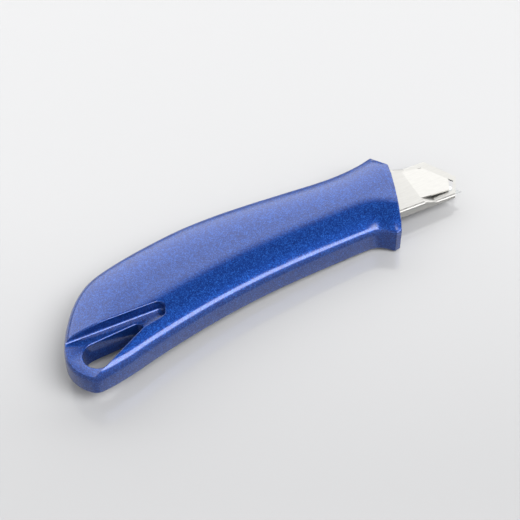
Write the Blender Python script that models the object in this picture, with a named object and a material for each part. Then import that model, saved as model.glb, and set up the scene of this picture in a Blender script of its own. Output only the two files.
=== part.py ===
"""Snap-off utility knife with an 18 mm blade: a hollow cast handle with a lanyard slot in its tail, a
folded steel blade channel whose nose carries a lanced spring tongue, and a self-locking slider.

+X points to the blade tip, +Y to the spine and +Z to the domed back. The origin is the middle of the rest
pad under the collar."""

import math

import bmesh
import bpy
import numpy as np
from mathutils import Vector

MM = 0.001
GAP = 0.3 * MM
OVERCUT = 1.0 * MM

# Handle outline in plan, in millimetres, drawn round a blade channel of PLAN_CHANNEL_HALF. The side runs
# from the collar's spine corner round the tail to its belly corner.
SIDE_POINTS = (
    (9.8, 17.75),
    (5.0, 17.0),
    (-3.5, 15.9),
    (-13.0, 15.7),
    (-27.0, 16.5),
    (-41.0, 17.3),
    (-55.0, 17.7),
    (-69.0, 17.2),
    (-83.0, 15.3),
    (-96.0, 12.7),
    (-107.0, 9.3),
    (-114.0, 4.7),
    (-120.3, -2.5),
    (-125.8, -12.0),
    (-128.0, -19.0),
    (-127.4, -24.8),
    (-124.6, -29.5),
    (-120.4, -31.9),
    (-110.0, -30.3),
    (-98.0, -27.1),
    (-85.0, -24.0),
    (-71.0, -21.2),
    (-56.0, -18.9),
    (-41.0, -17.4),
    (-26.0, -16.5),
    (-11.0, -15.8),
    (-5.5, -16.1),
    (-2.2, -17.9),
    (0.6, -19.7),
)
FRONT_POINTS = ((2.8, -19.3), (4.4, -16.0), (6.8, -9.5), (9.4, -2.0), (11.6, 4.8), (13.0, 9.9))
OUTLINE_STEPS = 4
HANDLE_STRETCH = 1.0
HANDLE_WIDEN = 1.0
PLAN_CHANNEL_HALF = 10.3 * MM

# Handle section.
EDGE_HEIGHT = 10.2 * MM
DOME_RISE = 3.6 * MM
DOME_REACH = 15.0 * MM
TOP_FILLET_COLLAR = 2.6 * MM
TOP_FILLET_TAIL = 4.4 * MM
TOP_FILLET_ANGLE = math.radians(67.0)
FRONT_FILLET = 0.6 * MM
FILLET_GROWTH = 0.35
UNDER_FILLET = 1.8 * MM
FILLET_STEPS = 5
GRID_PITCH = 5.0 * MM

# Handle hollow and the cover set into its underside.
RIM_WALL = 2.4 * MM
CAVITY_WALL = 4.0 * MM
CROWN_WALL = 8.0 * MM
CAVITY_FRONT_X = 2.5 * MM
CAVITY_REAR_X = -87.5 * MM
CROWN_FRONT_X = -8.0 * MM
CROWN_TO_SCREW = 6.0 * MM
CROWN_TOP = 11.6 * MM
COVER_FRONT_X = 3.0 * MM
COVER_REAR_X = -96.0 * MM
COVER_BOTTOM = 0.4 * MM
COVER_TOP = 2.0 * MM
PAD_LENGTH = 4.0 * MM
PAD_WIDTH = 18.0 * MM

# Tail pocket and lanyard slot.
POCKET_FLOOR = 9.6 * MM
POCKET_FRONT = (-89.4, -13.2)
POCKET_CORNER = 2.2 * MM
POCKET_BELLY = ((-90.4, -18.2), (-92.0, -18.9), (-99.0, -20.3), (-124.2, -32.7), (-134.0, -37.5))
POCKET_SPINE_END = (-140.0, -13.2)
SLOT_TAIL = (-117.5, -22.9)
SLOT_TAIL_R = 5.3 * MM
SLOT_HEAD = (-101.0, -18.2)
SLOT_HEAD_R = 1.9 * MM
SLOT_STEPS = 12

# Cover screws and channel screws.
COVER_SCREWS = ((-0.4, -13.5), (-44.0, 12.9), (-58.0, -14.2), (-91.0, 6.0))
CHANNEL_SCREWS = ((5.0, 0.0), (-82.0, 0.0))
SCREW_HEAD_R = 2.1 * MM
SCREW_HEAD_EDGE = 0.2 * MM
SCREW_HEAD_H = 0.9 * MM
SCREW_SHANK_R = 1.05 * MM
THREAD_FIT = 0.03 * MM
COVER_SCREW_END = 7.4 * MM
CHANNEL_SCREW_END = 11.0 * MM
SCREW_SEAT = 0.2 * MM
SCREW_RECESS_R = 0.8 * MM
SCREW_RECESS_END_R = 0.5 * MM
SCREW_RECESS_H = 0.5 * MM
BOSS_R = 2.3 * MM
ROUND_STEPS = 20

# Blade, with its stud hole in the tang.
BLADE_WIDTH = 18.0 * MM
BLADE_LENGTH = 100.0 * MM
BLADE_THICK = 0.5 * MM
BLADE_BOTTOM = 5.55 * MM
BLADE_TOP = BLADE_BOTTOM + BLADE_THICK
BLADE_TIP_X = 34.5 * MM
BLADE_SLANT = math.tan(math.radians(30.6))
BLADE_SEGMENT = 10.0 * MM
BLADE_SCORES = 8
SCORE_WIDTH = 0.4 * MM
SCORE_DEPTH = 0.15 * MM
GRIND_WIDTH = 2.6 * MM
EDGE_LAND = 0.06 * MM
TANG_TO_HOLE = 5.4 * MM
STUD_X = BLADE_TIP_X - BLADE_LENGTH + TANG_TO_HOLE
STUD_R = 1.75 * MM
STUD_FIT = 0.35 * MM

# Plate that rides over the blade, with the stud and the spring's rivet in it.
CARRIAGE_THICK = 1.0 * MM
CARRIAGE_BOTTOM = BLADE_TOP + STUD_FIT
CARRIAGE_TOP = CARRIAGE_BOTTOM + CARRIAGE_THICK
CARRIAGE_AHEAD = 7.0 * MM
CARRIAGE_BEHIND = 12.0 * MM
CARRIAGE_SIDE_FIT = 0.4 * MM
CARRIAGE_CORNER = 1.5 * MM
STUD_HEAD_OVERHANG = 0.85 * MM
STUD_HEAD_SLOPE = 0.2 * MM
STUD_HEAD_R = STUD_R + STUD_HEAD_OVERHANG
STUD_HEAD_TOP_R = STUD_HEAD_R - STUD_HEAD_SLOPE
RIVET_BEHIND = 8.6 * MM
RIVET_R = 1.1 * MM
RIVET_HEAD_OVERHANG = 0.8 * MM
RIVET_HEAD_SLOPE = 0.4 * MM
RIVET_HEAD_R = RIVET_R + RIVET_HEAD_OVERHANG
RIVET_HEAD_TOP_R = RIVET_HEAD_R - RIVET_HEAD_SLOPE
RIVET_HEAD_H = 0.5 * MM

# Blade channel, folded from sheet round the blade and the carriage. Nose, tongue and window are in
# millimetres.
SHEET = 0.6 * MM
BLADE_SIDE_FIT = 0.7 * MM
LIP_FIT = 0.25 * MM
HEAD_ROOM = 1.0 * MM
CHANNEL_HALF = BLADE_WIDTH / 2.0 + BLADE_SIDE_FIT + SHEET
CARRIAGE_HALF = CHANNEL_HALF - SHEET - CARRIAGE_SIDE_FIT
CHANNEL_REAR_X = -86.0 * MM
CHANNEL_TOP = CARRIAGE_TOP + HEAD_ROOM + SHEET
CAVITY_TOP = CHANNEL_TOP + GAP
NOSE_TOP = BLADE_TOP + STUD_FIT + SHEET
LIP_BOTTOM = BLADE_BOTTOM - LIP_FIT - SHEET
LIP_WIDTH = 3.3 * MM
LIP_EDGE_Y = CHANNEL_HALF - LIP_WIDTH
BEND_INNER_R = 0.3 * MM
BEND_R = SHEET + BEND_INNER_R
BEND_STEPS = 3
RAMP_START_X = 16.4 * MM
RAMP_END_X = 21.4 * MM
RAMP_SLANT = -0.16
NOSE_POINTS = (
    (-90.0, 14.0),
    (26.35, 14.0),
    (28.6, 10.2),
    (36.0, -2.3),
    (31.0, -10.3),
    (28.7, -14.0),
    (-90.0, -14.0),
)
TONGUE_SPINE = ((10.0, 7.3), (17.6, 7.3), (22.0, 6.8), (26.0, 6.2), (29.9, 0.8), (32.3, -2.5))
TONGUE_BELLY = ((10.0, -7.4), (17.6, -7.4), (22.0, -7.5), (26.0, -7.5), (29.9, -7.6), (32.3, -2.9))
TONGUE_TIP_DROP = 1.3 * MM
TONGUE_BEND_X = 17.6 * MM
TONGUE_REACH = 15.0 * MM
WINDOW_POINTS = ((17.4, 8.2), (26.2, 7.6), (33.9, -3.6), (30.9, -7.9), (26.0, -6.9), (18.6, -6.9))
RACK_PITCH = 2.5 * MM
RACK_NOTCH = 1.3 * MM
RACK_DEPTH = 1.0 * MM
RACK_FRONT_X = -4.0 * MM
RACK_COUNT = 30

# Lock spring under the channel's lips.
SPRING_THICK = 0.35 * MM
SPRING_FIT = 0.4 * MM
SPRING_BOTTOM = LIP_BOTTOM - SPRING_FIT - SPRING_THICK
SPRING_AHEAD = 4.6 * MM
SPRING_BEHIND = 15.0 * MM
SPRING_HALF = 4.0 * MM
HOOK_FIT = 0.2 * MM
HOOK_HALF = LIP_EDGE_Y - HOOK_FIT
HOOK_LENGTH = 0.7 * MM
HOOK_RISE = 0.7 * MM

# Thumb button: pad outside, stem in the cover's slot, foot inside.
BUTTON_SHIFT = 1.0 * MM
STEM_WALL = 1.2 * MM
STEM_HALF = STUD_R + STUD_FIT + STEM_WALL
STEM_LENGTH = 2.0 * (STEM_HALF + BUTTON_SHIFT)
STEM_CORNER = 2.9 * MM
SLOT_FIT = 0.4 * MM
SLOT_HALF = STEM_HALF + SLOT_FIT
SLOT_FRONT_X = -4.0 * MM
SLOT_REAR_X = -71.0 * MM
FOOT_OVERHANG = 2.3 * MM
FOOT_HALF = SLOT_HALF + FOOT_OVERHANG
FOOT_LENGTH = 18.0 * MM
FOOT_FIT = 0.35 * MM
FOOT_BOTTOM = COVER_TOP + FOOT_FIT
FOOT_TOP = SPRING_BOTTOM - FOOT_FIT
STUD_BELOW_FOOT = 0.45 * MM
STUD_BOTTOM = FOOT_BOTTOM - STUD_BELOW_FOOT
BUTTON_AHEAD = 7.0 * MM
BUTTON_BEHIND = 11.0 * MM
BUTTON_HALF = 6.0 * MM
BUTTON_TOP = COVER_BOTTOM - GAP
BUTTON_BOTTOM = -2.4 * MM
BUTTON_ROUND = 1.5 * MM
BUTTON_RIBS = 6
RIB_SHARE = 0.4
RIB_FLANK_SHARE = 0.25
RIB_DEPTH = 0.6 * MM
BUTTON_EDGE = 0.6 * MM

# Materials: colour, roughness and how metallic each is.
PAINT_BLUE = ((0.02, 0.07, 0.33, 1.0), 0.35, 0.6)
STEEL = ((0.78, 0.78, 0.76, 1.0), 0.3, 1.0)
BLADE_STEEL = ((0.55, 0.56, 0.56, 1.0), 0.25, 1.0)
SPRING_STEEL = ((0.45, 0.45, 0.46, 1.0), 0.35, 1.0)
SCREW_STEEL = ((0.32, 0.33, 0.35, 1.0), 0.35, 1.0)
BUTTON_BLACK = ((0.02, 0.02, 0.025, 1.0), 0.5, 0.0)
SMOOTH_ANGLE = 35.0


def clear_scene():
    for obj in list(bpy.data.objects):
        bpy.data.objects.remove(obj)


def material(name, colour, roughness, metallic):
    mat = bpy.data.materials.new(name)
    mat.use_nodes = True
    shader = mat.node_tree.nodes["Principled BSDF"]
    shader.inputs["Base Color"].default_value = colour
    shader.inputs["Roughness"].default_value = roughness
    shader.inputs["Metallic"].default_value = metallic
    mat.diffuse_color = colour
    return mat


def add_object(name, bm, mat=None, at=(0.0, 0.0, 0.0), smooth=None):
    """One object from a bmesh, with its normals turned outwards."""
    bmesh.ops.recalc_face_normals(bm, faces=bm.faces)
    mesh = bpy.data.meshes.new(name)
    bm.to_mesh(mesh)
    bm.free()
    obj = bpy.data.objects.new(name, mesh)
    obj.location = at
    bpy.context.scene.collection.objects.link(obj)
    if mat:
        mesh.materials.append(mat)
    if smooth:
        mesh.shade_smooth()
        mesh.set_sharp_from_angle(angle=math.radians(smooth))
    return obj


def rings_solid(rings):
    """A closed solid from stacked rings of points: quads between neighbours and a flat cap on each end."""
    bm = bmesh.new()
    rows = [[bm.verts.new(p) for p in ring] for ring in rings]
    count = len(rows[0])
    for low, high in zip(rows, rows[1:]):
        for i in range(count):
            j = (i + 1) % count
            bm.faces.new((low[i], low[j], high[j], high[i]))
    bm.faces.new(rows[0][::-1])
    bm.faces.new(rows[-1])
    return bm


def prism(points, low, high):
    """An upright prism over a plan polygon. low and high are heights, or functions of a plan point."""
    bottom = [(x, y, low(x, y) if callable(low) else low) for x, y in points]
    top = [(x, y, high(x, y) if callable(high) else high) for x, y in points]
    return rings_solid([bottom, top])


def turned(profile, steps=ROUND_STEPS):
    """A solid turned about +Z from (radius, height) pairs."""
    angles = [2.0 * math.pi * i / steps for i in range(steps)]
    return rings_solid([[(r * math.cos(a), r * math.sin(a), z) for a in angles] for r, z in profile])


def turned_at(x, y, profile):
    bm = turned(profile)
    bmesh.ops.translate(bm, verts=bm.verts, vec=(x, y, 0.0))
    return bm


def box(low, high):
    corners = ((low[0], low[1]), (high[0], low[1]), (high[0], high[1]), (low[0], high[1]))
    return prism(corners, low[2], high[2])


def cut(obj, bm, operation="DIFFERENCE"):
    """Adds one boolean to obj, from a cutter that is kept out of the render."""
    tool = add_object(f"{obj.name}_cutter_{len(obj.modifiers)}", bm)
    tool.location = obj.location
    tool.hide_render = True
    tool.display_type = "WIRE"
    mod = obj.modifiers.new(tool.name, "BOOLEAN")
    mod.operation = operation
    mod.solver = "EXACT"
    mod.object = tool


def channel_plan(points):
    """Plan points of the channel's nose, widened with the channel."""
    return [(x * MM, y * MM * CHANNEL_HALF / PLAN_CHANNEL_HALF) for x, y in points]


def handle_plan(points):
    """Plan points of the handle, widened with the channel and by the handle's own stretch."""
    return [(x * HANDLE_STRETCH, y * HANDLE_WIDEN) for x, y in channel_plan(points)]


def side_curve():
    """A Catmull-Rom curve through the side's points, open at the collar."""
    knots = list(np.array(handle_plan(SIDE_POINTS)))
    knots = [2.0 * knots[0] - knots[1], *knots, 2.0 * knots[-1] - knots[-2]]
    curve = []
    for a, b, c, d in zip(knots, knots[1:], knots[2:], knots[3:]):
        for step in range(OUTLINE_STEPS):
            t = step / OUTLINE_STEPS
            curve.append(
                0.5 * (2.0 * b + (c - a) * t + (2.0 * a - 5.0 * b + 4.0 * c - d) * t**2)
                + 0.5 * (3.0 * b - 3.0 * c + d - a) * t**3
            )
    curve.append(knots[-2])
    return np.array(curve)


def outline():
    """The whole closed outline and the number of its points that lie on the side."""
    side = side_curve()
    return np.vstack((side, handle_plan(FRONT_POINTS))), len(side)


def inward(points):
    """Offset directions, scaled so that an offset of one keeps every edge one away."""
    before = points - np.roll(points, 1, axis=0)
    after = np.roll(points, -1, axis=0) - points
    before /= np.linalg.norm(before, axis=1)[:, None]
    after /= np.linalg.norm(after, axis=1)[:, None]
    n0 = np.stack((-before[:, 1], before[:, 0]), axis=1)
    n1 = np.stack((-after[:, 1], after[:, 0]), axis=1)
    return (n0 + n1) / (1.0 + (n0 * n1).sum(axis=1))[:, None]


def inset_side(distance, front_x, rear_x, fit=0.0):
    """The side offset inwards, kept between two stations: a plan polygon with straight ends."""
    points, side = outline()
    front_x = front_x * HANDLE_STRETCH + fit
    rear_x = rear_x * HANDLE_STRETCH - fit
    distance -= fit
    inner = (points + inward(points) * distance)[:side]
    spine = [p for p in inner[: side // 2] if rear_x + GAP < p[0] < front_x - distance]
    belly = [p for p in inner[side // 2 :] if rear_x + GAP < p[0] < front_x - distance]
    spine_end = (rear_x, spine[-1][1])
    belly_end = (rear_x, belly[0][1])
    start, end = (front_x, spine[0][1]), (front_x, belly[-1][1])
    return [start, *map(tuple, spine), spine_end, belly_end, *map(tuple, belly), end]


def edge_distance(points):
    """Distance from each plan point to the side, which runs on straight ahead of the collar."""
    side = side_curve()
    ahead = np.array((np.ptp(side[:, 0]), 0.0))
    line = np.vstack((side[0] + ahead, side, side[-1] + ahead))
    start, span = line[:-1], np.diff(line, axis=0)
    to = points[:, None, :] - start[None]
    t = np.clip((to * span).sum(axis=2) / (span**2).sum(axis=1), 0.0, 1.0)
    return np.linalg.norm(to - t[..., None] * span, axis=2).min(axis=1)


def dome(points):
    """Height of the domed back: steepest at the edge and level beyond the dome's reach."""
    near = 1.0 - np.clip(edge_distance(points) / DOME_REACH, 0.0, 1.0)
    return EDGE_HEIGHT + DOME_RISE * (1.0 - near**2)


def handle_solid():
    """The outside of the handle: a rounded under edge, an upright wall, a fillet and the domed back."""
    points, side = outline()
    into = inward(points)
    length = np.ptp(points[:, 0])
    aft = (points[:, 0].max() - points[:, 0]) / length
    ends = np.minimum(*(np.linalg.norm(points - points[end], axis=1) for end in (0, side - 1)))
    growing = FRONT_FILLET + FILLET_GROWTH * ends
    fillet = np.minimum(TOP_FILLET_COLLAR + (TOP_FILLET_TAIL - TOP_FILLET_COLLAR) * aft, growing)
    under = np.minimum(UNDER_FILLET, growing)
    turn = np.full(len(points), TOP_FILLET_ANGLE)
    fillet[side:] = FRONT_FILLET
    under[side:] = FRONT_FILLET
    turn[side:] = math.pi / 2.0
    top = points + into * (fillet * (1.0 - np.cos(turn)))[:, None]
    wall_top = dome(top) - fillet * np.sin(turn)
    rings = []
    for step in range(FILLET_STEPS + 1):
        a = math.pi / 2.0 * step / FILLET_STEPS
        plan = points + into * (under * (1.0 - math.sin(a)))[:, None]
        rings.append(np.column_stack((plan, under * (1.0 - math.cos(a)))))
    for step in range(FILLET_STEPS + 1):
        a = turn * step / FILLET_STEPS
        plan = points + into * (fillet * (1.0 - np.cos(a)))[:, None]
        rings.append(np.column_stack((plan, wall_top + fillet * np.sin(a))))
    bm = rings_solid([[tuple(p) for p in ring] for ring in rings])
    bm.faces.ensure_lookup_table()
    crown = bm.faces[-1]
    part = {crown}
    low, high = points.min(axis=0), points.max(axis=0)
    for axis in (0, 1):
        normal = Vector((float(axis == 0), float(axis == 1), 0.0))
        for at in np.arange(low[axis] + GRID_PITCH, high[axis], GRID_PITCH):
            edges = {e for f in part for e in f.edges}
            geom = [*part, *edges, *{v for f in part for v in f.verts}]
            done = bmesh.ops.bisect_plane(bm, geom=geom, plane_co=normal * at, plane_no=normal)
            part = {f for f in done["geom"] if isinstance(f, bmesh.types.BMFace)}
    rim = {v for f in bm.faces if f not in part for v in f.verts}
    inner = list({v for f in part for v in f.verts} - rim)
    heights = dome(np.array([v.co[:2] for v in inner]))
    for vert, height in zip(inner, heights):
        vert.co.z = height
    bmesh.ops.triangulate(bm, faces=list(part))
    return bm


def arc(centre, radius, start, end, steps):
    angles = [start + (end - start) * i / steps for i in range(steps + 1)]
    return [(centre[0] + radius * math.cos(a), centre[1] + radius * math.sin(a)) for a in angles]


def lanyard_plan():
    """The slot's plan: two round ends of different radius joined by their common tangents."""
    (x0, y0), (x1, y1) = handle_plan((SLOT_TAIL, SLOT_HEAD))
    r0, r1 = SLOT_TAIL_R, SLOT_HEAD_R
    along = math.atan2(y1 - y0, x1 - x0)
    lean = math.acos((r0 - r1) / math.hypot(x1 - x0, y1 - y0))
    tail = arc((x0, y0), r0, along + lean, along + 2.0 * math.pi - lean, 2 * SLOT_STEPS)
    head = arc((x1, y1), r1, along - lean, along + lean, SLOT_STEPS)
    return tail + head


def pocket_plan():
    """The tail pocket's plan: a straight spine side, a rounded front end and an open tail end."""
    spine_end, front = handle_plan((POCKET_SPINE_END, POCKET_FRONT))
    corner = (front[0] - POCKET_CORNER, front[1] - POCKET_CORNER)
    bend = arc(corner, POCKET_CORNER, math.pi / 2.0, 0.0, SLOT_STEPS // 2)
    return [spine_end, *bend, *handle_plan(POCKET_BELLY)]


def build_shell(paint):
    shell = add_object("back_shell", handle_solid(), paint, smooth=SMOOTH_ANGLE)
    recess = inset_side(RIM_WALL + GAP, COVER_FRONT_X, COVER_REAR_X, GAP)
    cut(shell, prism(recess, -OVERCUT, COVER_TOP + GAP))
    cut(shell, prism(inset_side(CAVITY_WALL, CAVITY_FRONT_X, CAVITY_REAR_X), 0.0, CAVITY_TOP))
    crown_rear_x = (channel_plan(CHANNEL_SCREWS)[-1][0] + CROWN_TO_SCREW) / HANDLE_STRETCH
    cut(shell, prism(inset_side(CROWN_WALL, CROWN_FRONT_X, crown_rear_x), COVER_TOP, CROWN_TOP))
    half = CHANNEL_HALF + GAP
    ahead = outline()[0][:, 0].max() + OVERCUT
    cut(shell, box((CROWN_FRONT_X * HANDLE_STRETCH, -half, LIP_BOTTOM - GAP), (ahead, half, CAVITY_TOP)))
    for x, y in handle_plan(COVER_SCREWS[:-1]):
        boss = turned_at(x, y, ((BOSS_R, COVER_TOP + GAP), (BOSS_R, CAVITY_TOP + SHEET)))
        cut(shell, boss, "UNION")
    for x, y in handle_plan(COVER_SCREWS):
        cut(shell, turned_at(x, y, ((SCREW_SHANK_R, COVER_TOP), (SCREW_SHANK_R, COVER_SCREW_END + GAP))))
    for x, y in channel_plan(CHANNEL_SCREWS):
        bottom, end = CAVITY_TOP - OVERCUT, CHANNEL_SCREW_END + GAP
        cut(shell, turned_at(x, y, ((SCREW_SHANK_R, bottom), (SCREW_SHANK_R, end))))
    above = EDGE_HEIGHT + DOME_RISE + OVERCUT
    cut(shell, prism(pocket_plan(), POCKET_FLOOR, above))
    cut(shell, prism(lanyard_plan(), -OVERCUT, above))


def build_cover(paint):
    plan = inset_side(RIM_WALL + GAP, COVER_FRONT_X, COVER_REAR_X)
    cover = add_object("front_cover", prism(plan, COVER_BOTTOM, COVER_TOP), paint)
    length, width = PAD_LENGTH / 2.0, PAD_WIDTH / 2.0
    pad = box((-length, -width, 0.0), (length, width, COVER_TOP - SHEET))
    cut(cover, pad, "UNION")
    front = arc((SLOT_FRONT_X - SLOT_HALF, 0.0), SLOT_HALF, -math.pi / 2.0, math.pi / 2.0, SLOT_STEPS)
    rear = arc((SLOT_REAR_X + SLOT_HALF, 0.0), SLOT_HALF, math.pi / 2.0, math.pi * 1.5, SLOT_STEPS)
    cut(cover, prism(front + rear, -OVERCUT, COVER_TOP + OVERCUT))
    seat = COVER_BOTTOM + SCREW_SEAT + SCREW_HEAD_H
    for x, y in handle_plan(COVER_SCREWS):
        head = SCREW_HEAD_R + GAP
        shank = SCREW_SHANK_R + GAP
        profile = ((head, -OVERCUT), (head, seat + GAP), (shank, seat + GAP), (shank, COVER_TOP + OVERCUT))
        cut(cover, turned_at(x, y, profile))


def build_screw(name, mat, x, y, seat, end):
    """A pan-head screw standing on its head, with a round driving recess."""
    head = seat - SCREW_HEAD_H
    profile = (
        (SCREW_RECESS_END_R, head + SCREW_RECESS_H),
        (SCREW_RECESS_R, head),
        (SCREW_HEAD_R - SCREW_HEAD_EDGE, head),
        (SCREW_HEAD_R, head + SCREW_HEAD_EDGE),
        (SCREW_HEAD_R, seat),
        (SCREW_SHANK_R - THREAD_FIT, seat),
        (SCREW_SHANK_R - THREAD_FIT, end),
    )
    add_object(name, turned(profile), mat, at=(x, y, 0.0), smooth=SMOOTH_ANGLE)


def build_screws(mat):
    for number, (x, y) in enumerate(handle_plan(COVER_SCREWS), 1):
        seat = COVER_BOTTOM + SCREW_SEAT + SCREW_HEAD_H
        build_screw(f"cover_screw_{number}", mat, x, y, seat, COVER_SCREW_END)
    for number, (x, y) in enumerate(channel_plan(CHANNEL_SCREWS), 1):
        seat = CHANNEL_TOP - SHEET - SCREW_SEAT
        build_screw(f"channel_screw_{number}", mat, x, y, seat, CHANNEL_SCREW_END)


def channel_section(top):
    """The folded section from lip to lip: its outer line, then its inner line back."""
    lines = []
    for grow in (0.0, SHEET):
        half = CHANNEL_HALF - grow
        up, down = top - grow, LIP_BOTTOM + grow
        bend = BEND_R - grow
        low = arc((half - bend, down + bend), bend, -math.pi / 2.0, 0.0, BEND_STEPS)
        high = arc((half - bend, up - bend), bend, 0.0, math.pi / 2.0, BEND_STEPS)
        right = [(LIP_EDGE_Y, down), *low, *high]
        left = [(-y, z) for y, z in reversed(right)]
        lines.append(right + left)
    return lines[0] + lines[1][::-1]


def rack_notches():
    """One row of square notches in the inner edge of each lip, where the lock spring's hooks catch."""
    bm = bmesh.new()
    size = Vector((RACK_NOTCH, RACK_DEPTH + OVERCUT, SHEET + OVERCUT))
    for number in range(RACK_COUNT):
        for side in (-1.0, 1.0):
            made = bmesh.ops.create_cube(bm, size=1.0)["verts"]
            bmesh.ops.scale(bm, vec=size, verts=made)
            y = side * (LIP_EDGE_Y + (RACK_DEPTH - OVERCUT) / 2.0)
            at = (RACK_FRONT_X - RACK_PITCH * number, y, LIP_BOTTOM + SHEET / 2.0)
            bmesh.ops.translate(bm, vec=at, verts=made)
    return bm


def tongue_solid():
    """The spring tongue: a strip of the channel's roof, bent down towards its pointed end."""
    rings = []
    for belly, spine in zip(channel_plan(TONGUE_BELLY), channel_plan(TONGUE_SPINE)):
        top = CHANNEL_TOP - TONGUE_TIP_DROP * max(0.0, belly[0] - TONGUE_BEND_X) / TONGUE_REACH
        low = top - SHEET
        rings.append([(*belly, low), (*spine, low), (*spine, top), (*belly, top)])
    return rings_solid(rings)


def build_channel(mat):
    reach = max(x for x, _ in NOSE_POINTS) * MM + OVERCUT
    stations = ((CHANNEL_REAR_X, CHANNEL_TOP, 0.0), (RAMP_START_X, CHANNEL_TOP, RAMP_SLANT))
    stations += ((RAMP_END_X, NOSE_TOP, RAMP_SLANT), (reach, NOSE_TOP, 0.0))
    rings = [[(x + slant * y, y, z) for y, z in channel_section(top)] for x, top, slant in stations]
    channel = add_object("blade_channel", rings_solid(rings), mat, smooth=SMOOTH_ANGLE)
    cut(channel, prism(channel_plan(NOSE_POINTS), LIP_BOTTOM - OVERCUT, CHANNEL_TOP + OVERCUT), "INTERSECT")
    cut(channel, prism(channel_plan(WINDOW_POINTS), BLADE_TOP + STUD_FIT / 2.0, CHANNEL_TOP + OVERCUT))
    cut(channel, tongue_solid(), "UNION")
    cut(channel, rack_notches())
    for x, y in channel_plan(CHANNEL_SCREWS):
        shank = SCREW_SHANK_R + GAP
        cut(channel, turned_at(x, y, ((shank, CHANNEL_TOP - OVERCUT), (shank, CHANNEL_TOP + OVERCUT))))


def blade_section(x, slant, depth):
    """One section of the blade: ground to its edge on the -Y side, and thinned at a score line."""
    half = BLADE_WIDTH / 2.0
    top = BLADE_TOP
    middle = (BLADE_BOTTOM + top) / 2.0
    ground = -half + GRIND_WIDTH
    line = ((half, BLADE_BOTTOM), (half, top - depth), (ground, top - depth), (-half, middle + EDGE_LAND))
    line += ((-half, middle - EDGE_LAND), (ground, BLADE_BOTTOM))
    return [(x - slant * (y + half), y, z) for y, z in line]


def build_blade(mat):
    rear = BLADE_TIP_X - BLADE_LENGTH
    rings = [blade_section(rear, 0.0, 0.0)]
    for number in range(BLADE_SCORES, 0, -1):
        x = BLADE_TIP_X - BLADE_SEGMENT * number
        for step, depth in ((-0.5, 0.0), (0.0, SCORE_DEPTH), (0.5, 0.0)):
            rings.append(blade_section(x + step * SCORE_WIDTH, BLADE_SLANT, depth))
    rings.append(blade_section(BLADE_TIP_X, BLADE_SLANT, 0.0))
    blade = add_object("snap_blade", rings_solid(rings), mat)
    radius = STUD_R + STUD_FIT
    cut(blade, turned_at(STUD_X, 0.0, ((radius, BLADE_BOTTOM - OVERCUT), (radius, BLADE_TOP + OVERCUT))))


def rounded_plan(low, high, corner):
    """A rectangle in plan with round corners."""
    quarter = math.pi / 2.0
    points = []
    corners = (high, (low[0], high[1]), low, (high[0], low[1]))
    for number, (x, y) in enumerate(corners):
        cx = x - math.copysign(corner, x - (low[0] + high[0]) / 2.0)
        cy = y - math.copysign(corner, y - (low[1] + high[1]) / 2.0)
        points += arc((cx, cy), corner, quarter * number, quarter * (number + 1), BEND_STEPS)
    return points


def build_carriage(mat, stud_mat):
    """The plate that rides over the blade inside the channel, and the stud that carries blade and button."""
    x = STUD_X
    low, high = (x - CARRIAGE_BEHIND, -CARRIAGE_HALF), (x + CARRIAGE_AHEAD, CARRIAGE_HALF)
    carriage = add_object(
        "blade_carriage", prism(rounded_plan(low, high, CARRIAGE_CORNER), CARRIAGE_BOTTOM, CARRIAGE_TOP), mat
    )
    for at, radius in ((x, STUD_R), (x - RIVET_BEHIND, RIVET_R)):
        bore = radius + THREAD_FIT
        low_z, high_z = CARRIAGE_BOTTOM - OVERCUT, CARRIAGE_TOP + OVERCUT
        cut(carriage, turned_at(at, 0.0, ((bore, low_z), (bore, high_z))))
    head = CARRIAGE_TOP + THREAD_FIT
    profile = ((STUD_R - EDGE_LAND, STUD_BOTTOM), (STUD_R, STUD_BOTTOM + EDGE_LAND), (STUD_R, head))
    profile += ((STUD_HEAD_R, head), (STUD_HEAD_TOP_R, head + RIVET_HEAD_H))
    add_object("carriage_stud", turned(profile), stud_mat, at=(x, 0.0, 0.0), smooth=SMOOTH_ANGLE)


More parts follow.
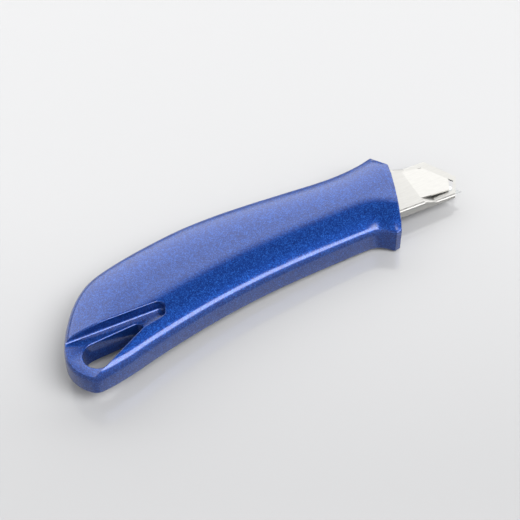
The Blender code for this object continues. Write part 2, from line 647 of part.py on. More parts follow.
def build_spring(mat, rivet_mat):
    """The leaf under the channel's lips, with a hook up into a notch of each lip, and its rivet."""
    x = STUD_X
    top = SPRING_BOTTOM + SPRING_THICK
    low, high = (x - SPRING_BEHIND, -SPRING_HALF), (x + SPRING_AHEAD, SPRING_HALF)
    leaf = prism(rounded_plan(low, high, CARRIAGE_CORNER), SPRING_BOTTOM, top)
    spring = add_object("lock_spring", leaf, mat)
    notch = RACK_FRONT_X - RACK_PITCH * round((RACK_FRONT_X - x) / RACK_PITCH)
    half = HOOK_LENGTH / 2.0
    for side in (-1.0, 1.0):
        arm_y = sorted((side * (SPRING_HALF - HOOK_LENGTH), side * (HOOK_HALF + HOOK_LENGTH)))
        hook_y = sorted((side * HOOK_HALF, side * (HOOK_HALF + HOOK_LENGTH)))
        arm = box((notch - half, arm_y[0], SPRING_BOTTOM), (notch + half, arm_y[1], top))
        cut(spring, arm, "UNION")
        hook = box((notch - half, hook_y[0], SPRING_BOTTOM), (notch + half, hook_y[1], top + HOOK_RISE))
        cut(spring, hook, "UNION")
    for at, radius in ((x, STUD_R + STUD_FIT), (x - RIVET_BEHIND, RIVET_R + THREAD_FIT)):
        low_z, high_z = SPRING_BOTTOM - OVERCUT, top + OVERCUT
        cut(spring, turned_at(at, 0.0, ((radius, low_z), (radius, high_z))))
    foot = SPRING_BOTTOM - THREAD_FIT
    head = CARRIAGE_TOP + THREAD_FIT
    profile = ((RIVET_HEAD_TOP_R, foot - RIVET_HEAD_H), (RIVET_HEAD_R, foot), (RIVET_R, foot))
    profile += ((RIVET_R, head), (RIVET_HEAD_R, head), (RIVET_HEAD_TOP_R, head + RIVET_HEAD_H))
    at = (x - RIVET_BEHIND, 0.0, 0.0)
    add_object("spring_rivet", turned(profile), rivet_mat, at=at, smooth=SMOOTH_ANGLE)


def button_profile(x):
    """Side view of the thumb button: round ends and a ribbed face."""
    rear, front = x - BUTTON_BEHIND, x + BUTTON_AHEAD
    quarter = math.pi / 2.0
    centre_z = BUTTON_BOTTOM + BUTTON_ROUND
    line = [(front, BUTTON_TOP)]
    line += arc((front - BUTTON_ROUND, centre_z), BUTTON_ROUND, 0.0, -quarter, BEND_STEPS)
    pitch = (front - rear - 2.0 * BUTTON_ROUND) / (BUTTON_RIBS + RIB_SHARE)
    rib, flank = pitch * RIB_SHARE, pitch * RIB_FLANK_SHARE / 2.0
    for number in range(BUTTON_RIBS):
        at = front - BUTTON_ROUND - rib - pitch * number
        line.append((at + flank, BUTTON_BOTTOM))
        line.append((at - flank, BUTTON_BOTTOM + RIB_DEPTH))
        line.append((at - pitch + rib + flank, BUTTON_BOTTOM + RIB_DEPTH))
        line.append((at - pitch + rib - flank, BUTTON_BOTTOM))
    line += arc((rear + BUTTON_ROUND, centre_z), BUTTON_ROUND, -quarter, -2.0 * quarter, BEND_STEPS)
    line.append((rear, BUTTON_TOP))
    return line


def build_button(mat):
    """The thumb button: a ribbed pad outside, a stem in the cover's slot and a foot inside it."""
    x = STUD_X
    rings = []
    for y, shrink in ((-BUTTON_HALF, 1.0), (-BUTTON_HALF + BUTTON_EDGE, 0.0)):
        rings.append([(px, y, min(pz + shrink * BUTTON_EDGE, BUTTON_TOP)) for px, pz in button_profile(x)])
    rings += [[(px, -y, pz) for px, y, pz in ring] for ring in reversed(rings)]
    button = add_object("slider_button", rings_solid(rings), mat, smooth=SMOOTH_ANGLE)
    half = STEM_LENGTH / 2.0
    stem = rounded_plan((x - half, -STEM_HALF), (x + half, STEM_HALF), STEM_CORNER)
    cut(button, prism(stem, BUTTON_TOP - EDGE_LAND, FOOT_BOTTOM + EDGE_LAND), "UNION")
    half = FOOT_LENGTH / 2.0
    foot = rounded_plan((x - half, -FOOT_HALF), (x + half, FOOT_HALF), CARRIAGE_CORNER)
    cut(button, prism(foot, FOOT_BOTTOM, FOOT_TOP), "UNION")
    reach = STUD_R + STUD_FIT
    slot = rounded_plan((x - reach - BUTTON_SHIFT, -reach), (x + reach + BUTTON_SHIFT, reach), STUD_R)
    cut(button, prism(slot, STUD_BOTTOM - GAP, FOOT_TOP + OVERCUT))
    hollow = RIVET_HEAD_R + BUTTON_SHIFT + STUD_FIT
    rivet_x = x - RIVET_BEHIND
    relief = rounded_plan((rivet_x - hollow, -hollow), (rivet_x + hollow, hollow), STUD_R)
    cut(button, prism(relief, FOOT_BOTTOM - OVERCUT, FOOT_TOP + OVERCUT))


def main():
    clear_scene()
    paint = material("blue_paint", *PAINT_BLUE)
    steel = material("channel_steel", *STEEL)
    blade_steel = material("blade_steel", *BLADE_STEEL)
    spring_steel = material("spring_steel", *SPRING_STEEL)
    screw_steel = material("screw_steel", *SCREW_STEEL)
    black = material("button_plastic", *BUTTON_BLACK)
    build_shell(paint)
    build_cover(paint)
    build_screws(screw_steel)
    build_channel(steel)
    build_blade(blade_steel)
    build_carriage(steel, screw_steel)
    build_spring(spring_steel, screw_steel)
    build_button(black)


main()
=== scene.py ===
"""Looks of the snap-off utility knife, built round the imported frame."""

import math

import bmesh
import bpy
import numpy as np
from mathutils import Matrix, Vector


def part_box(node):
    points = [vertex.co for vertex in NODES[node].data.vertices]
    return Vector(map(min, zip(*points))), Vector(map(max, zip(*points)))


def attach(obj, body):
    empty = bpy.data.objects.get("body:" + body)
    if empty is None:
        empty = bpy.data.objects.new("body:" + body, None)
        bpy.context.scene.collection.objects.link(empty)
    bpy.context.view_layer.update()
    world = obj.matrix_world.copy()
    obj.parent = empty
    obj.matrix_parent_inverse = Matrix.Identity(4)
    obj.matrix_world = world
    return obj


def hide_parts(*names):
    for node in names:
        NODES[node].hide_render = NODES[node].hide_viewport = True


MM = 0.001
GAP = 0.3 * MM
OVERCUT = 1.0 * MM

# Camera, at the photograph's viewing angle.
CAMERA_AZIMUTH = -25.9
CAMERA_ELEVATION = 50.0
CAMERA_DISTANCE = 0.55
CAMERA_TARGET = (-0.0485, -0.00692, 0.007)
CAMERA_LENS = 105.7
CAMERA_SENSOR = 36.0
CAMERA_REACH = 20.0

# Floor, and the round on the thumb button where the knife leans on it.
FLOOR_SIZE = 6.0
FLOOR_CELLS = 8
FLOOR_COLOUR = (166, 166, 167)
FLOOR_ROUGHNESS = 0.12
BUTTON_ROUND = 1.5 * MM

# The studio: brightness by the angle from the far horizon over the top to the near one, in degrees, and a
# softbox above the camera that is limited in width.
STUDIO_STOPS = (
    (0.0, 0.4),
    (6.0, 0.4),
    (14.0, 3.3),
    (50.0, 3.3),
    (60.0, 0.06),
    (88.0, 0.06),
    (128.0, 1.0),
    (180.0, 1.0),
)
SOFTBOX_STOPS = ((0.0, 0.0), (88.0, 0.0), (91.0, 10.0), (121.0, 10.0), (132.0, 0.0), (180.0, 0.0))
SOFTBOX_CENTRE = 0.48
SOFTBOX_HALF = 0.34
SOFTBOX_FADE = 0.1

# Handle outline in plan, in millimetres, from the collar's spine corner round the tail to its belly corner.
SIDE_POINTS = (
    (9.8, 17.75),
    (5.0, 17.0),
    (-3.5, 15.9),
    (-13.0, 15.7),
    (-27.0, 16.5),
    (-41.0, 17.3),
    (-55.0, 17.7),
    (-69.0, 17.2),
    (-83.0, 15.3),
    (-96.0, 12.7),
    (-107.0, 9.3),
    (-114.0, 4.7),
    (-120.3, -2.5),
    (-125.8, -12.0),
    (-128.0, -19.0),
    (-127.4, -24.8),
    (-124.6, -29.5),
    (-120.4, -31.9),
    (-110.0, -30.3),
    (-98.0, -27.1),
    (-85.0, -24.0),
    (-71.0, -21.2),
    (-56.0, -18.9),
    (-41.0, -17.4),
    (-26.0, -16.5),
    (-11.0, -15.8),
    (-5.5, -16.1),
    (-2.2, -17.9),
    (0.6, -19.7),
)
FRONT_POINTS = ((2.8, -19.3), (4.4, -16.0), (6.8, -9.5), (9.4, -2.0), (11.6, 4.8), (13.0, 9.9))
OUTLINE_STEPS = 10

# Handle section.
EDGE_HEIGHT = 10.2 * MM
DOME_RISE = 3.6 * MM
DOME_REACH = 15.0 * MM
TOP_FILLET_COLLAR = 2.6 * MM
TOP_FILLET_TAIL = 4.4 * MM
TOP_FILLET_ANGLE = math.radians(67.0)
FRONT_FILLET = 0.6 * MM
FILLET_GROWTH = 0.35
UNDER_FILLET = 1.8 * MM
FILLET_STEPS = 12
UNDER_STEPS = 7
GRID_PITCH = 1.5 * MM

# Handle hollow.
RIM_WALL = 2.4 * MM
CAVITY_WALL = 4.0 * MM
CROWN_WALL = 8.0 * MM
CAVITY_X = (2.5 * MM, -87.5 * MM)
CROWN_X = (-8.0 * MM, -76.0 * MM)
CROWN_TOP = 11.6 * MM
COVER_SCREW_END = 7.7 * MM
CHANNEL_SCREW_END = 11.3 * MM
SCREW_BORE_R = 1.05 * MM
BOSS_R = 2.3 * MM

# Tail pocket and lanyard slot.
POCKET_FLOOR = 9.6 * MM
POCKET_FRONT = (-89.4, -13.2)
POCKET_CORNER = 2.2 * MM
POCKET_BELLY = ((-90.4, -18.2), (-92.0, -18.9), (-99.0, -20.3), (-124.2, -32.7), (-134.0, -37.5))
POCKET_SPINE_END = (-135.0, -13.2)
POCKET_FAR_END = (-140.0, -13.2)
POCKET_RIM = 0.45 * MM
POCKET_FOOT = 1.1 * MM
SLOT_TAIL = (-117.5, -22.9)
SLOT_TAIL_R = 5.3 * MM
SLOT_HEAD = (-101.0, -18.2)
SLOT_HEAD_R = 1.9 * MM
SLOT_RIM = 0.5 * MM
ROUND_STEPS = 24
RIM_STEPS = 5
PLAN_PITCH = 1.0 * MM

# Finishes: sRGB colours of 0 to 255, noise in features per metre, and the round on each sharp CAD edge.
FLAKE_CELLS = 3600.0
FLAKE_CLOUD = 700.0
FLAKE_SHARE = 0.7
FLAKE_STOPS = ((0.2, (12, 37, 94)), (0.5, (17, 49, 116)), (0.8, (34, 80, 158)))
FLAKE_HEIGHT = 0.006 * MM
PAINT_METALLIC = 0.6
PAINT_ROUGHNESS = 0.42
COAT_WEIGHT = 0.8
COAT_ROUGHNESS = 0.1
GRAIN_EVEN = (1.0, 1.0, 1.0)
GRAIN_ALONG = (0.1, 1.0, 1.0)
GRAIN_ACROSS = (1.0, 0.1, 1.0)
STEEL_GRAIN = 2500.0
STEEL_GRAIN_HEIGHT = 0.004 * MM
STEEL_ROUGHNESS_RANGE = 0.12
STEELS = (
    ("rolled_stainless", (166, 165, 162), 0.36, GRAIN_ALONG, 0.08 * MM, ("blade_channel",)),
    ("pressed_stainless", (215, 214, 210), 0.3, GRAIN_ALONG, 0.08 * MM, ("blade_carriage",)),
    ("ground_blade", (178, 180, 180), 0.22, GRAIN_ACROSS, 0.0, ("snap_blade",)),
    ("spring_steel", (150, 150, 152), 0.35, GRAIN_EVEN, 0.05 * MM, ("lock_spring",)),
    ("zinc_steel", (165, 168, 172), 0.35, GRAIN_EVEN, 0.08 * MM, ("screw", "rivet", "stud")),
)
PLASTIC_GRAIN = 2200.0
PLASTIC_STOPS = ((0.3, (20, 20, 23)), (0.7, (30, 30, 33)))
PLASTIC_GRAIN_HEIGHT = 0.03 * MM
PLASTIC_ROUGHNESS = 0.5
SOFT_EDGE = 0.15 * MM
WELD_REACH = 0.001 * MM
SMOOTH_ANGLE = 30.0
HANDLE_SMOOTH_ANGLE = 28.0
EDGE_ANGLE = 40.0

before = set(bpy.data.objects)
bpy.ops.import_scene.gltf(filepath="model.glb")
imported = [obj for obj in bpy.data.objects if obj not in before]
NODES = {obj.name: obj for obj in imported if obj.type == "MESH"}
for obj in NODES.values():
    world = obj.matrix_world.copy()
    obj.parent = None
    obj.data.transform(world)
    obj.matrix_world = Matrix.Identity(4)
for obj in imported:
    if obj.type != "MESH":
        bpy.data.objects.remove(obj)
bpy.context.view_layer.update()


def srgb(r, g, b):
    """A linear colour from sRGB values of 0 to 255."""
    values = [v / 255.0 for v in (r, g, b)]
    return tuple(v / 12.92 if v <= 0.04045 else ((v + 0.055) / 1.055) ** 2.4 for v in values) + (1.0,)


def srgb_stops(stops):
    return [(at, srgb(*colour)) for at, colour in stops]


def direction(azimuth, elevation):
    az, el = math.radians(azimuth), math.radians(elevation)
    return Vector((math.sin(az) * math.cos(el), -math.cos(az) * math.cos(el), math.sin(el)))


def link(obj):
    bpy.context.scene.collection.objects.link(obj)
    return obj


def add_camera():
    back = direction(CAMERA_AZIMUTH, CAMERA_ELEVATION)
    data = bpy.data.cameras.new("camera")
    data.lens = CAMERA_LENS
    data.sensor_width = CAMERA_SENSOR
    data.clip_end = CAMERA_REACH
    camera = link(bpy.data.objects.new("camera", data))
    camera.location = Vector(CAMERA_TARGET) + back * CAMERA_DISTANCE
    camera.rotation_euler = back.to_track_quat("Z", "Y").to_euler()
    bpy.context.scene.camera = camera


class Nodes:
    """A short way to write a node tree."""

    def __init__(self, tree):
        self.tree = tree

    def add(self, kind, **values):
        node = self.tree.nodes.new(kind)
        for key, value in values.items():
            setattr(node, key, value)
        return node

    def join(self, out, into):
        self.tree.links.new(out, into)

    def math(self, operation, a, b=None):
        node = self.add("ShaderNodeMath", operation=operation)
        for socket, value in zip(node.inputs, (a, b)):
            if isinstance(value, (int, float)):
                socket.default_value = value
            elif value is not None:
                self.join(value, socket)
        return node.outputs[0]

    def ramp(self, factor, stops):
        node = self.add("ShaderNodeValToRGB")
        elements = node.color_ramp.elements
        while len(elements) < len(stops):
            elements.new(0.5)
        for element, (at, colour) in zip(elements, stops):
            element.position = at
            element.color = colour
        self.join(factor, node.inputs["Fac"])
        return node.outputs["Color"]

    def noise(self, scale, detail, stretch=None):
        """Noise in the object's own space; scale is features per metre."""
        place = self.add("ShaderNodeTexCoord").outputs["Object"]
        if stretch:
            mapping = self.add("ShaderNodeMapping")
            mapping.inputs["Scale"].default_value = stretch
            self.join(place, mapping.inputs["Vector"])
            place = mapping.outputs["Vector"]
        node = self.add("ShaderNodeTexNoise")
        node.inputs["Scale"].default_value = scale
        node.inputs["Detail"].default_value = detail
        self.join(place, node.inputs["Vector"])
        return node.outputs["Fac"]

    def cells(self, scale):
        """A random value for the cell that each point is in."""
        place = self.add("ShaderNodeTexCoord").outputs["Object"]
        node = self.add("ShaderNodeTexVoronoi")
        node.inputs["Scale"].default_value = scale
        self.join(place, node.inputs["Vector"])
        return node.outputs["Color"]

    def bump(self, height, distance, strength):
        node = self.add("ShaderNodeBump")
        node.inputs["Distance"].default_value = distance
        node.inputs["Strength"].default_value = strength
        self.join(height, node.inputs["Height"])
        return node.outputs["Normal"]


def new_material(name):
    mat = bpy.data.materials.new(name)
    mat.use_nodes = True
    shader = mat.node_tree.nodes["Principled BSDF"]
    return mat, Nodes(mat.node_tree), shader.inputs


def floor_material():
    mat, _, shader = new_material("floor_white")
    shader["Base Color"].default_value = srgb(*FLOOR_COLOUR)
    shader["Roughness"].default_value = FLOOR_ROUGHNESS
    return mat


def rest_plane():
    """A point and the normal of the table under the collar and the thumb button."""
    button_low, button_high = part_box("slider_button")
    shell_low, shell_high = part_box("back_shell")
    front = Vector((shell_high[0] - FRONT_FILLET, 0.0, shell_low[2]))
    touch = Vector((button_high[0] - BUTTON_ROUND, 0.0, button_low[2]))
    along = (front - touch).normalized()
    return front, Vector((-along.z, 0.0, along.x))


def add_floor():
    point, normal = rest_plane()
    bm = bmesh.new()
    bmesh.ops.create_grid(bm, x_segments=FLOOR_CELLS, y_segments=FLOOR_CELLS, size=FLOOR_SIZE / 2.0)
    floor = mesh_object("floor", bm, floor_material())
    floor.matrix_world = Matrix.Translation(point) @ normal.to_track_quat("Z", "Y").to_matrix().to_4x4()


def add_studio():
    """Soft strips of light that run across the view, set by the angle over the top."""
    world = bpy.data.worlds.new("studio")
    bpy.context.scene.world = world
    world.use_nodes = True
    tree = Nodes(world.node_tree)
    split = tree.add("ShaderNodeSeparateXYZ")
    tree.join(tree.add("ShaderNodeTexCoord").outputs["Generated"], split.inputs[0])
    away = -direction(CAMERA_AZIMUTH, 0.0)
    x, y, z = split.outputs
    ahead = tree.math("ADD", tree.math("MULTIPLY", x, away.x), tree.math("MULTIPLY", y, away.y))
    across = tree.math("SUBTRACT", tree.math("MULTIPLY", x, away.y), tree.math("MULTIPLY", y, away.x))
    angle = tree.math("DIVIDE", tree.math("ARCTAN2", z, ahead), math.pi)
    level = studio_ramp(tree, angle, STUDIO_STOPS)
    aside = tree.math("ABSOLUTE", tree.math("SUBTRACT", across, SOFTBOX_CENTRE))
    inside = tree.math("DIVIDE", tree.math("SUBTRACT", SOFTBOX_HALF, aside), SOFTBOX_FADE)
    inside.node.use_clamp = True
    softbox = tree.math("MULTIPLY", studio_ramp(tree, angle, SOFTBOX_STOPS), inside)
    background = world.node_tree.nodes["Background"]
    background.inputs["Color"].default_value = (1.0, 1.0, 1.0, 1.0)
    tree.join(tree.math("ADD", level, softbox), background.inputs["Strength"])


def studio_ramp(tree, angle, stops):
    """Brightness by angle: a ramp of shares of the brightest stop."""
    peak = max(level for _, level in stops)
    shares = [(at / 180.0, (level / peak, level / peak, level / peak, 1.0)) for at, level in stops]
    return tree.math("MULTIPLY", tree.ramp(angle, shares), peak)


def mesh_object(name, bm, mat=None, smooth=SMOOTH_ANGLE):
    bmesh.ops.recalc_face_normals(bm, faces=bm.faces)
    mesh = bpy.data.meshes.new(name)
    bm.to_mesh(mesh)
    bm.free()
    if smooth:
        mesh.shade_smooth()
        mesh.set_sharp_from_angle(angle=math.radians(smooth))
    if mat:
        mesh.materials.append(mat)
    return link(bpy.data.objects.new(name, mesh))


def rings_solid(rings):
    """A closed solid from stacked rings of points: quads between neighbours and a flat cap on each end."""
    bm = bmesh.new()
    rows = [[bm.verts.new(p) for p in ring] for ring in rings]
    count = len(rows[0])
    for low, high in zip(rows, rows[1:]):
        for i in range(count):
            j = (i + 1) % count
            bm.faces.new((low[i], low[j], high[j], high[i]))
    bm.faces.new(rows[0][::-1])
    bm.faces.new(rows[-1])
    return bm


def prism(points, low, high):
    return rings_solid([[(x, y, z) for x, y in points] for z in (low, high)])


def turned_at(x, y, profile):
    angles = [2.0 * math.pi * i / ROUND_STEPS for i in range(ROUND_STEPS)]
    return rings_solid([[(x + r * math.cos(a), y + r * math.sin(a), z) for a in angles] for r, z in profile])


def carve(obj, cutters):
    """Applies each (bmesh, operation) to obj in turn and removes the cutters."""
    tools = []
    for number, (bm, operation) in enumerate(cutters):
        tool = mesh_object(f"{obj.name}_tool_{number}", bm, smooth=None)
        mod = obj.modifiers.new(tool.name, "BOOLEAN")
        mod.operation = operation
        mod.solver = "EXACT"
        mod.object = tool
        tools.append(tool)
    evaluated = obj.evaluated_get(bpy.context.evaluated_depsgraph_get())
    mesh = bpy.data.meshes.new_from_object(evaluated)
    obj.modifiers.clear()
    obj.data = mesh
    for tool in tools:
        bpy.data.objects.remove(tool)


def in_mm(points):
    return [(x * MM, y * MM) for x, y in points]


def smooth_curve(points, steps):
    """A Catmull-Rom curve through plan points, open at both ends."""
    knots = [np.array(p) for p in in_mm(points)]
    knots = [2.0 * knots[0] - knots[1], *knots, 2.0 * knots[-1] - knots[-2]]
    curve = []
    for a, b, c, d in zip(knots, knots[1:], knots[2:], knots[3:]):
        for step in range(steps):
            t = step / steps
            curve.append(
                0.5 * (2.0 * b + (c - a) * t + (2.0 * a - 5.0 * b + 4.0 * c - d) * t**2)
                + 0.5 * (3.0 * b - 3.0 * c + d - a) * t**3
            )
    curve.append(knots[-2])
    return np.array(curve)


SIDE = smooth_curve(SIDE_POINTS, OUTLINE_STEPS)
OUTLINE = np.vstack((SIDE, smooth_curve(FRONT_POINTS, 1)))


def inward(points):
    """Offset directions, scaled so that an offset of one keeps every edge one away."""
    before = points - np.roll(points, 1, axis=0)
    after = np.roll(points, -1, axis=0) - points
    before /= np.linalg.norm(before, axis=1)[:, None]
    after /= np.linalg.norm(after, axis=1)[:, None]
    n0 = np.stack((-before[:, 1], before[:, 0]), axis=1)
    n1 = np.stack((-after[:, 1], after[:, 0]), axis=1)
    return (n0 + n1) / (1.0 + (n0 * n1).sum(axis=1))[:, None]


def inset_side(distance, front_x, rear_x):
    """The side offset inwards, kept between two stations: a plan polygon with straight ends."""
    side = len(SIDE)
    inner = (OUTLINE + inward(OUTLINE) * distance)[:side]
    spine = [p for p in inner[: side // 2] if rear_x + GAP < p[0] < front_x - distance]
    belly = [p for p in inner[side // 2 :] if rear_x + GAP < p[0] < front_x - distance]
    ends = ((rear_x, spine[-1][1]), (rear_x, belly[0][1]))
    return [(front_x, spine[0][1]), *map(tuple, spine), *ends, *map(tuple, belly), (front_x, belly[-1][1])]


def edge_distance(points):
    """Distance from each plan point to the side, which runs on straight ahead of the collar."""
    ahead = np.array((np.ptp(SIDE[:, 0]), 0.0))
    line = np.vstack((SIDE[0] + ahead, SIDE, SIDE[-1] + ahead))
    start, span = line[:-1], np.diff(line, axis=0)
    to = points[:, None, :] - start[None]
    t = np.clip((to * span).sum(axis=2) / (span**2).sum(axis=1), 0.0, 1.0)
    return np.linalg.norm(to - t[..., None] * span, axis=2).min(axis=1)


def rise(distance):
    near = 1.0 - np.clip(distance / DOME_REACH, 0.0, 1.0)
    return EDGE_HEIGHT + DOME_RISE * (1.0 - near**2)


def dome(points):
    """Height of the domed back: steepest at the edge and level beyond the dome's reach."""
    return rise(edge_distance(points))


def fillet_radius(points):
    aft = (OUTLINE[:, 0].max() - points[:, 0]) / np.ptp(OUTLINE[:, 0])
    return TOP_FILLET_COLLAR + (TOP_FILLET_TAIL - TOP_FILLET_COLLAR) * aft


def surface(points):
    """Height of the handle's outside over plan points: the dome, or the fillet near the side."""
    distance = edge_distance(points)
    fillet = fillet_radius(points)
    reach = fillet * (1.0 - math.cos(TOP_FILLET_ANGLE))
    wall_top = rise(reach) - fillet * math.sin(TOP_FILLET_ANGLE)
    short = 1.0 - np.clip(distance / fillet, 0.0, 1.0)
    return np.where(distance < reach, wall_top + fillet * np.sqrt(1.0 - short**2), rise(distance))


def handle_solid():
    """The outside of the handle: a rounded under edge, an upright wall, a fillet and the domed back."""
    points, side = OUTLINE, len(SIDE)
    into = inward(points)
    ends = np.minimum(*(np.linalg.norm(points - points[end], axis=1) for end in (0, side - 1)))
    growing = FRONT_FILLET + FILLET_GROWTH * ends
    fillet = np.minimum(fillet_radius(points), growing)
    under = np.minimum(UNDER_FILLET, growing)
    turn = np.full(len(points), TOP_FILLET_ANGLE)
    fillet[side:] = FRONT_FILLET
    under[side:] = FRONT_FILLET
    turn[side:] = math.pi / 2.0
    top = points + into * (fillet * (1.0 - np.cos(turn)))[:, None]
    wall_top = dome(top) - fillet * np.sin(turn)
    rings = []
    for step in range(UNDER_STEPS + 1):
        a = math.pi / 2.0 * step / UNDER_STEPS
        plan = points + into * (under * (1.0 - math.sin(a)))[:, None]
        rings.append(np.column_stack((plan, under * (1.0 - math.cos(a)))))
    for step in range(FILLET_STEPS + 1):
        a = turn * step / FILLET_STEPS
        plan = points + into * (fillet * (1.0 - np.cos(a)))[:, None]
        rings.append(np.column_stack((plan, wall_top + fillet * np.sin(a))))
    bm = rings_solid([[tuple(p) for p in ring] for ring in rings])
    bm.faces.ensure_lookup_table()
    crown = bm.faces[-1]
    part = {crown}
    low, high = points.min(axis=0), points.max(axis=0)
    for axis in (0, 1):
        normal = Vector((float(axis == 0), float(axis == 1), 0.0))
        for at in np.arange(low[axis] + GRID_PITCH, high[axis], GRID_PITCH):
            edges = {e for f in part for e in f.edges}
            geom = [*part, *edges, *{v for f in part for v in f.verts}]
            done = bmesh.ops.bisect_plane(bm, geom=geom, plane_co=normal * at, plane_no=normal)
            part = {f for f in done["geom"] if isinstance(f, bmesh.types.BMFace)}
    rim = {v for f in bm.faces if f not in part for v in f.verts}
    inner = list({v for f in part for v in f.verts} - rim)
    heights = dome(np.array([v.co[:2] for v in inner]))
    for vert, height in zip(inner, heights):
        vert.co.z = height
    bmesh.ops.triangulate(bm, faces=list(part))
    return bm


def arc(centre, radius, start, end, steps):
    angles = [start + (end - start) * i / steps for i in range(steps + 1)]
    return [(centre[0] + radius * math.cos(a), centre[1] + radius * math.sin(a)) for a in angles]


def evenly(points, pitch):
    """A line through plan points with its long runs divided."""
    points = [np.array(p) for p in points]
    result = []
    for a, b in zip(points, points[1:]):
        count = max(1, round(float(np.linalg.norm(b - a)) / pitch))
        result += [a + (b - a) * i / count for i in range(count)]
    return result + [points[-1]]


def lanyard_plan():
    """The slot's plan: two round ends of different radius joined by their common tangents."""
    (x0, y0), (x1, y1) = in_mm((SLOT_TAIL, SLOT_HEAD))
    along = math.atan2(y1 - y0, x1 - x0)
    lean = math.acos((SLOT_TAIL_R - SLOT_HEAD_R) / math.hypot(x1 - x0, y1 - y0))
    tail = arc((x0, y0), SLOT_TAIL_R, along + lean, along + 2.0 * math.pi - lean, 2 * ROUND_STEPS)
    head = arc((x1, y1), SLOT_HEAD_R, along - lean, along + lean, ROUND_STEPS)
    return np.array(evenly([*tail, *head, tail[0]], PLAN_PITCH)[:-1])


def pocket_plan():
    """The tail pocket's plan: a straight spine side, a rounded front end and an open tail end."""
    far_end, spine_end, front = in_mm((POCKET_FAR_END, POCKET_SPINE_END, POCKET_FRONT))
    corner = (front[0] - POCKET_CORNER, front[1] - POCKET_CORNER)
    bend = arc(corner, POCKET_CORNER, math.pi / 2.0, 0.0, ROUND_STEPS // 2)
    *belly, belly_end = in_mm(POCKET_BELLY)
    line = [far_end, *evenly([spine_end, *bend, *belly], PLAN_PITCH), belly_end]
    return np.array(line[::-1])


def in_plan(points, polygon):
    """Whether each plan point lies inside a polygon."""
    inside = np.zeros(len(points), bool)
    for (x0, y0), (x1, y1) in zip(polygon, np.roll(polygon, -1, axis=0)):
        spans = (y0 > points[:, 1]) != (y1 > points[:, 1])
        if y0 != y1:
            cross = x0 + (points[:, 1] - y0) * (x1 - x0) / (y1 - y0)
            inside ^= spans & (points[:, 0] < cross)
    return inside


def flared(plan, floor, foot, height, rim):
    """A cutter with a rounded foot whose wall turns outwards at the top to leave a rounded rim.
    floor, height and rim may differ from point to point."""
    into = inward(plan)
    rings = []
    if foot:
        for step in range(RIM_STEPS + 1):
            a = math.pi / 2.0 * step / RIM_STEPS
            rings.append((plan + into * foot * (1.0 - math.sin(a)), floor + foot * (1.0 - math.cos(a))))
    else:
        rings.append((plan, floor))
    rim = np.broadcast_to(rim, (len(plan),))
    for step in range(RIM_STEPS + 1):
        a = math.pi / 2.0 * step / RIM_STEPS
        rings.append((plan - into * (rim * (1.0 - math.cos(a)))[:, None], height - rim * (1.0 - math.sin(a))))
    rings.append((rings[-1][0], EDGE_HEIGHT + DOME_RISE + OVERCUT))
    solid = [np.column_stack((p, np.broadcast_to(z, (len(p),)))) for p, z in rings]
    return rings_solid([[tuple(q) for q in ring] for ring in solid])


def pocket_cutter():
    plan = pocket_plan()
    height = np.maximum(surface(plan - inward(plan) * POCKET_RIM), POCKET_FLOOR + POCKET_FOOT)
    rim = np.minimum(POCKET_RIM, height - POCKET_FLOOR - POCKET_FOOT)
    return flared(plan, POCKET_FLOOR, POCKET_FOOT, height, rim)


def lanyard_cutter():
    plan = lanyard_plan()
    outer = plan - inward(plan) * SLOT_RIM
    height = np.where(in_plan(outer, pocket_plan()), POCKET_FLOOR, surface(outer))
    return flared(plan, -OVERCUT, 0.0, height, SLOT_RIM)


def build_handle(paint):
    shell = mesh_object("handle_shell", handle_solid(), paint)
    channel_low, channel_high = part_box("blade_channel")
    cover_low, cover_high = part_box("front_cover")
    cavity_top = channel_high[2] + GAP
    recess = inset_side(RIM_WALL, cover_high[0] + GAP, cover_low[0] - GAP)
    half = channel_high[1] + GAP
    window = [(CROWN_X[0], -half), (OUTLINE[:, 0].max() + OVERCUT, -half)]
    window += [(x, half) for x, _ in reversed(window)]
    cutters = [
        (prism(recess, -OVERCUT, cover_high[2] + GAP), "DIFFERENCE"),
        (prism(inset_side(CAVITY_WALL, *CAVITY_X), 0.0, cavity_top), "DIFFERENCE"),
        (prism(inset_side(CROWN_WALL, *CROWN_X), cover_high[2], CROWN_TOP), "DIFFERENCE"),
        (prism(window, channel_low[2] - GAP, cavity_top), "DIFFERENCE"),
    ]
    screws = [name for name in NODES if name.startswith("cover_screw")]
    centres = {name: (sum(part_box(name), Vector()) / 2.0) for name in NODES if "_screw_" in name}
    for name in sorted(screws)[:-1]:
        x, y, _ = centres[name]
        boss = ((BOSS_R, cover_high[2] + GAP), (BOSS_R, cavity_top + GAP))
        cutters.append((turned_at(x, y, boss), "UNION"))
    for name, (x, y, _) in sorted(centres.items()):
        in_channel = (cavity_top - OVERCUT, CHANNEL_SCREW_END)
        bore = (cover_high[2], COVER_SCREW_END) if name in screws else in_channel
        cutters.append((turned_at(x, y, [(SCREW_BORE_R, z) for z in bore]), "DIFFERENCE"))
    cutters.append((pocket_cutter(), "DIFFERENCE"))
    cutters.append((lanyard_cutter(), "DIFFERENCE"))
    carve(shell, cutters)
    shell.data.shade_smooth()
    shell.data.set_sharp_from_angle(angle=math.radians(HANDLE_SMOOTH_ANGLE))
    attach(shell, "handle")
    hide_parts("back_shell")


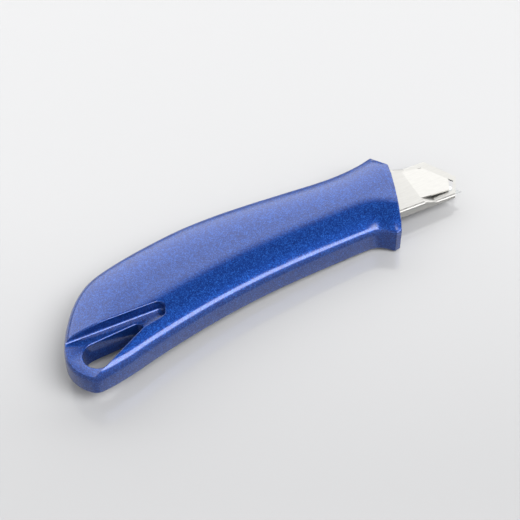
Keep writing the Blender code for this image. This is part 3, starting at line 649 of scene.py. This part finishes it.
def paint_material():
    """Deep blue metallic paint: fine flakes under a clear gloss coat."""
    mat, tree, shader = new_material("blue_flake_paint")
    flakes = tree.cells(FLAKE_CELLS)
    cloud = tree.noise(FLAKE_CLOUD, 3.0)
    fine = tree.math("MULTIPLY", flakes, FLAKE_SHARE)
    level = tree.math("ADD", fine, tree.math("MULTIPLY", cloud, 1.0 - FLAKE_SHARE))
    tree.join(tree.ramp(level, srgb_stops(FLAKE_STOPS)), shader["Base Color"])
    shader["Metallic"].default_value = PAINT_METALLIC
    shader["Roughness"].default_value = PAINT_ROUGHNESS
    shader["Specular IOR Level"].default_value = 0.0
    shader["Coat Weight"].default_value = COAT_WEIGHT
    shader["Coat Roughness"].default_value = COAT_ROUGHNESS
    tree.join(tree.bump(flakes, FLAKE_HEIGHT, 0.25), shader["Normal"])
    return mat


def steel_material(name, colour, roughness, stretch):
    """Bright steel with fine streaks left by rolling or grinding."""
    mat, tree, shader = new_material(name)
    grain = tree.noise(STEEL_GRAIN, 3.0, stretch)
    dark = tuple(v * 0.9 for v in colour[:3]) + (1.0,)
    tree.join(tree.ramp(grain, ((0.3, dark), (0.7, colour))), shader["Base Color"])
    shader["Metallic"].default_value = 1.0
    uneven = tree.math("MULTIPLY", grain, STEEL_ROUGHNESS_RANGE)
    level = tree.math("ADD", uneven, roughness - STEEL_ROUGHNESS_RANGE / 2.0)
    tree.join(level, shader["Roughness"])
    tree.join(tree.bump(grain, STEEL_GRAIN_HEIGHT, 0.4), shader["Normal"])
    return mat


def plastic_material():
    mat, tree, shader = new_material("black_plastic")
    grain = tree.noise(PLASTIC_GRAIN, 2.0)
    tree.join(tree.ramp(grain, srgb_stops(PLASTIC_STOPS)), shader["Base Color"])
    shader["Roughness"].default_value = PLASTIC_ROUGHNESS
    tree.join(tree.bump(grain, PLASTIC_GRAIN_HEIGHT, 0.5), shader["Normal"])
    return mat


def give(mat, names, bevel):
    """The material and a fine round on every sharp edge of a CAD node."""
    for name in names:
        node = NODES[name]
        node.data.materials.clear()
        node.data.materials.append(mat)
        weld = node.modifiers.new("weld", "WELD")
        weld.merge_threshold = WELD_REACH
        if bevel:
            mod = node.modifiers.new("round", "BEVEL")
            mod.width = bevel
            mod.segments = 2
            mod.limit_method = "ANGLE"
            mod.angle_limit = math.radians(EDGE_ANGLE)


bpy.context.scene.view_settings.view_transform = "Standard"
add_camera()
add_floor()
add_studio()
paint = paint_material()
build_handle(paint)
give(paint, ["front_cover"], SOFT_EDGE)
for name, colour, roughness, grain, bevel, words in STEELS:
    steel = steel_material(name, srgb(*colour), roughness, grain)
    give(steel, [node for node in NODES if any(word in node for word in words)], bevel)
give(plastic_material(), ["slider_button"], SOFT_EDGE)
